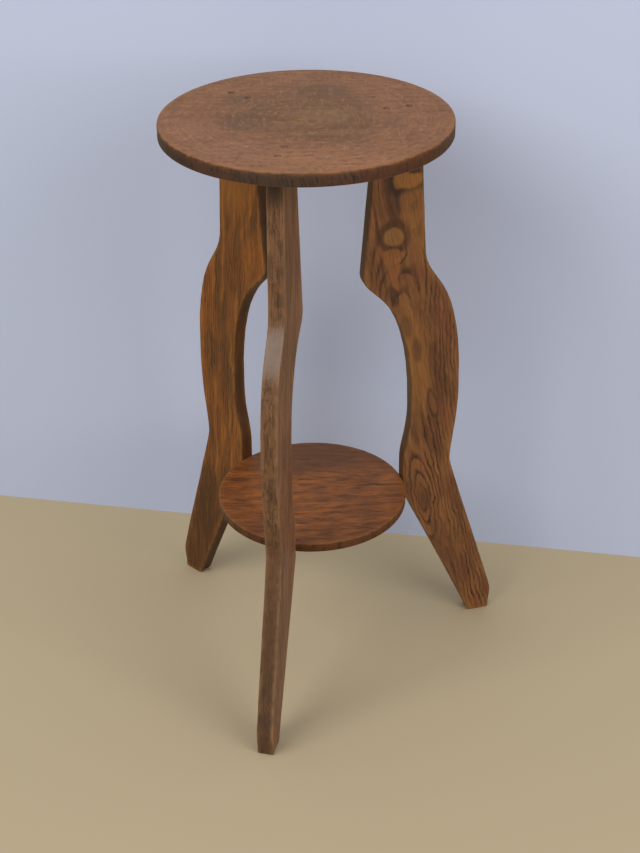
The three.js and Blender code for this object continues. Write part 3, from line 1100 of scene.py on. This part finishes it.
def planed(put, disc, given):
    """The disc with its rim planed flat towards each of three legs."""
    _, x, y, away = place_round_axis(put)
    heading = put("Math", y, x, operation="ARCTAN2")
    heading = put("Math", heading, given["First leg"], operation="SUBTRACT")
    from_leg = put("Math", heading, -THIRD / 2, THIRD / 2, operation="WRAP")
    leg_way = put("Math", heading, from_leg, operation="SUBTRACT")
    leg_way = put("Math", leg_way, given["First leg"])
    reach = put("Math", from_leg, operation="COSINE")
    reach = put("Math", away, reach, operation="MULTIPLY")
    excess = put("Math", given["Planed at"], reach, operation="SUBTRACT")
    excess = put("Math", excess, 0.0, operation="MINIMUM")
    towards = [put("Math", leg_way, operation=side) for side in ("COSINE", "SINE")]
    back = put("VectorMath", put("CombineXYZ", *towards), excess, operation="SCALE")
    return put("SetPosition", disc, True, None, back)


print("a leg every", round(math.degrees(THIRD)), "degrees")

# %% [markdown]
# The tree carries the profile round a tiny circle, moves and planes the disc, and drills what it
# is given as its own mesh out of it.

# %% The tree that turns a disc


def disc_tree():
    """A disc round the Z axis with its upper face at height 0."""
    lengths = ("Radius", "Thickness", "Upper round", "Lower round", "Planed at", "First leg")
    sizes = {label: "Float" for label in (*lengths, "Unevenness", "Waves per metre")}
    sizes |= {"Steps round": "Int", "Rings": "Int", "Seed": "Float", "Finish": "Material"}
    tree, put, given = new_tree("turned disc", sizes)
    pin = put("CurvePrimitiveCircle", given["Steps round"], 0.01 * MM)
    disc = put("CurveToMesh", pin, disc_profile(put, given))
    disc = put("MergeByDistance", disc, None, 0.03 * MM)
    disc = uneven(put, disc, given)
    disc = planed(put, disc, given)
    disc = put("MeshBoolean", disc, given["Drills"], operation="DIFFERENCE", solver="EXACT")
    disc = put("RealizeInstances", disc)
    disc = put("SetMaterial", disc, True, given["Finish"])
    put("NodeGroupOutput", disc)
    return tree


turned_disc = disc_tree()
print("turned disc tree has", len(turned_disc.nodes), "nodes")

# %% [markdown]
# A tree's sizes are set on the modifier by each socket's identifier. The evaluated result then
# becomes a plain mesh, and the modifier goes.

# %% Run a tree


def grown(name, tree, sizes, drills=()):
    """A plain mesh object that a tree made, with its sizes given by their labels."""
    thing = mesh_object(name, drills)
    modifier = thing.modifiers.new("tree", "NODES")
    modifier.node_group = tree
    for socket in tree.interface.items_tree:
        if socket.in_out == "INPUT" and socket.name in sizes:
            modifier[socket.identifier] = sizes[socket.name]
    keep_result(thing, modifier)
    return thing


def build_disc(name, node, sizes, drills):
    """A turned and drilled disc that stands for its CAD node."""
    low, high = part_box(node)
    radius, thickness = (high.x - low.x) / 2, high.z - low.z
    common = {
        "Radius": radius,
        "Thickness": thickness,
        "First leg": math.radians(leg_places["front"]),
        "Unevenness": 0.25 * MM,
        "Waves per metre": 28.0,
    }
    disc = grown(name, turned_disc, common | sizes, drills)
    points = np.array([v.co for v in disc.data.vertices])
    depth = np.abs(points[:, 2])
    from_rim = radius - np.hypot(points[:, 0], points[:, 1])
    # Only the upper arris is within reach of hands and pots, so only it is worn.
    store_wear(disc, from_rim, np.minimum(depth, thickness - depth), np.hypot(from_rim, depth))
    disc.data.transform(Matrix.Translation(axis + Vector((0, 0, high.z))))
    disc.data.shade_smooth()
    disc.data.set_sharp_from_angle(angle=math.radians(35))
    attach(disc, "root")
    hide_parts(node)
    print(disc.name, len(disc.data.vertices), "points,", len(disc.data.polygons), "faces")


# %% [markdown]
# The top is drilled for the six plugs that cover its screws. Its upper arris is the rounder one,
# as hands and pots have worn it.

# %% Build the top
PLUG_BORE = 3.8 * MM
plug_low, plug_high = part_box("plug_front_outer")
leg_turns = [math.radians(turn) for turn in leg_places.values()]
leg_ways = [Vector((math.cos(turn), math.sin(turn), 0)) for turn in leg_turns]
mouths = [way * circle for way in leg_ways for circle in screw_circles]
bores = [drill(PLUG_BORE, mouth, (0, 0, -1), plug_high.z - plug_low.z) for mouth in mouths]
top_sizes = {
    "Upper round": 2.6 * MM,
    "Lower round": 1.2 * MM,
    "Planed at": 1.0,  # a metre out, so nowhere
    "Steps round": 240,
    "Rings": 40,
    "Seed": 3.0,
    "Finish": top_oak,
}
build_disc("turned_top", "top_disc", top_sizes, bores)

# %% [markdown]
# The shelf's rim is flat where a leg meets it, and a dowel goes into each flat. Half of a dowel
# lies in the shelf, so the flat is at the dowel's middle, less a small gap for the joint.

# %% Build the shelf
JOINT_GAP = 0.15 * MM
shelf_flat = axis.y - (dowel_low.y + dowel_high.y) / 2 - JOINT_GAP
shelf_middle = Vector((0, 0, (shelf_low.z - shelf_high.z) / 2))
dowel_depth = shelf_flat + dowel_high.y - axis.y
mouths = [way * shelf_flat + shelf_middle for way in leg_ways]
bores = [drill(DOWEL_HOLE, mouth, -way, dowel_depth) for mouth, way in zip(mouths, leg_ways)]
shelf_sizes = {
    "Upper round": 1.6 * MM,
    "Lower round": 1.5 * MM,
    "Planed at": shelf_flat,
    "Steps round": 180,
    "Rings": 28,
    "Seed": 8.0,
    "Finish": shelf_oak,
}
build_disc("turned_shelf", "shelf_disc", shelf_sizes, bores)

# %% [markdown]
# ## The filled screw holes
#
# The legs are screwed on from above, and the holes over the screws are filled with dark wood
# filler, which shrank as it dried. A plug is a small disc, so the tree that turned the top and
# the shelf makes it too, used as one node in a larger tree.

# %% One plug of filler


def plug_disc(put, given):
    """One plug, made by the disc tree as a group."""
    plug = put("GeometryNodeGroup", node_tree=turned_disc).node
    sizes = {
        "Radius": given["Plug radius"],
        "Thickness": given["Plug length"],
        "Upper round": 0.5 * MM,
        "Lower round": 0.2 * MM,
        "Planed at": 1.0,
        "Unevenness": 0.35 * MM,
        "Waves per metre": 260.0,
        "Steps round": 32,
        "Rings": 5,
        "Seed": 1.7,
        "Finish": given["Finish"],
    }
    fill(plug, sizes)
    return plug.outputs[0]


print("a plug is", round((plug_high.z - plug_low.z) / MM, 1), "mm long")

# %% [markdown]
# Six of a kind on two circles is what Geometry Nodes are for. The tree puts three points on each
# circle, an instance of the plug on each point, and gives every one its own turn, depth and tone
# from a fixed seed.

# %% The tree that fills the holes


def filler_tree():
    """Six plugs in two circles of three, with their upper faces at height 0."""
    lengths = ("Outer circle", "Inner circle", "First leg", "Plug radius", "Plug length")
    sizes = {label: "Float" for label in (*lengths, "Deepest sink")}
    sizes |= {"Seed": "Int", "Finish": "Material"}
    tree, put, given = new_tree("filled screw holes", sizes)
    circles = put("JoinGeometry").node
    for label in ("Outer circle", "Inner circle"):
        fill(circles, {0: put("MeshCircle", 3, given[label])})
    turned = put("CombineXYZ", 0.0, 0.0, given["First leg"])
    places = put("Transform", circles.outputs[0], None, turned)

    seed = given["Seed"]
    spin = {"data_type": "FLOAT_VECTOR"}
    turns = put("RandomValue", (0, 0, 0), (0, 0, math.tau), None, seed, **spin)
    plug = plug_disc(put, given)
    plugs = put("InstanceOnPoints", places, None, plug, None, None, turns)
    deepest = put("Math", given["Deepest sink"], -1.0, operation="MULTIPLY")
    sunk = put("RandomValue", deepest, 0.0, None, seed, data_type="FLOAT")
    sunk = put("CombineXYZ", 0.0, 0.0, sunk)
    plugs = put("TranslateInstances", plugs, None, sunk, False)
    tone = put("RandomValue", 0.0, 1.0, None, seed, data_type="FLOAT")
    plugs = put("StoreNamedAttribute", plugs, None, "tone", tone, domain="INSTANCE")
    plugs = put("RealizeInstances", plugs)
    plugs = put("SetMaterial", plugs, None, given["Finish"])
    put("NodeGroupOutput", plugs)
    return tree


filled_holes = filler_tree()
print("filled screw holes tree has", len(filled_holes.nodes), "nodes")

# %% [markdown]
# Wood filler is dyed sawdust in glue: matt, grainy and a little darker and redder than the oak.

# %% Finish and mesh of the filler
PLUG_ROOM = 0.3 * MM  # left above the screw's head for the plug to sink into


def grainy(name, tones, size, roughness, relief):
    """A matt, mottled material with grains of about size mm, lighter where tone is high."""
    material, put, shader = new_material(name)
    seen = put("TexCoord", out="Object")
    grains = put("TexNoise", seen, 1 / (size * MM), 3.0)
    tone = put("Attribute", attribute_name="tone", out="Fac")
    grains = put("Math", tone, 0.2, grains, operation="MULTIPLY_ADD")
    amount = put("MapRange", grains, 0.45, 0.75)
    colour = put("Mix", amount, linear(tones[0]), linear(tones[1]), **COLOURS)
    gloss = put("Math", grains, 0.2, roughness, operation="MULTIPLY_ADD")
    bump = put("Bump", relief, size * MM / 2, None, grains)
    fill(shader, {"Base Color": colour, "Roughness": gloss, "Normal": bump})
    return material, shader


filler, _ = grainy("dark wood filler, shrunk and matt", ("#3A2015", "#80543C"), 3.0, 0.6, 0.4)
plug_sizes = {
    "Outer circle": screw_circles[0],
    "Inner circle": screw_circles[1],
    "First leg": math.radians(leg_places["front"]),
    "Plug radius": (plug_high.x - plug_low.x) / 2,
    "Plug length": plug_high.z - plug_low.z - PLUG_ROOM,
    "Deepest sink": 0.25 * MM,
    "Seed": 6,
    "Finish": filler,
}
plugs = grown("screw_hole_plugs", filled_holes, plug_sizes)
plugs.data.transform(Matrix.Translation(axis + Vector((0, 0, plug_high.z))))
plugs.data.shade_smooth()
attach(plugs, "root")
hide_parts(*(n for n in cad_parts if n.startswith("plug_")))
print(plugs.name, len(plugs.data.vertices), "points")

# %% [markdown]
# ## Screws and dowels
#
# These CAD pieces have the right shape and stay as they are. They sit inside the wood, where
# only a cut or an exploded view shows them. The dowels are raw beech, pale and fine grained. The
# screws are plain steel that has dulled.

# %% Finish of the screws and the dowels
dulled_steel, shader = grainy("plain steel, dulled", ("#7C7D80", "#A2A3A6"), 0.8, 0.32, 0.15)
fill(shader, {"Metallic": 1.0})
raw_beech, _ = grainy("raw beech dowel", ("#A98459", "#C4A077"), 1.5, 0.6, 0.3)
for node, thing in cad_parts.items():
    for start, finish in (("screw_", dulled_steel), ("shelf_dowel_", raw_beech)):
        if node.startswith(start):
            thing.data.materials.clear()
            thing.data.materials.append(finish)
            print(node, "is of", finish.name)
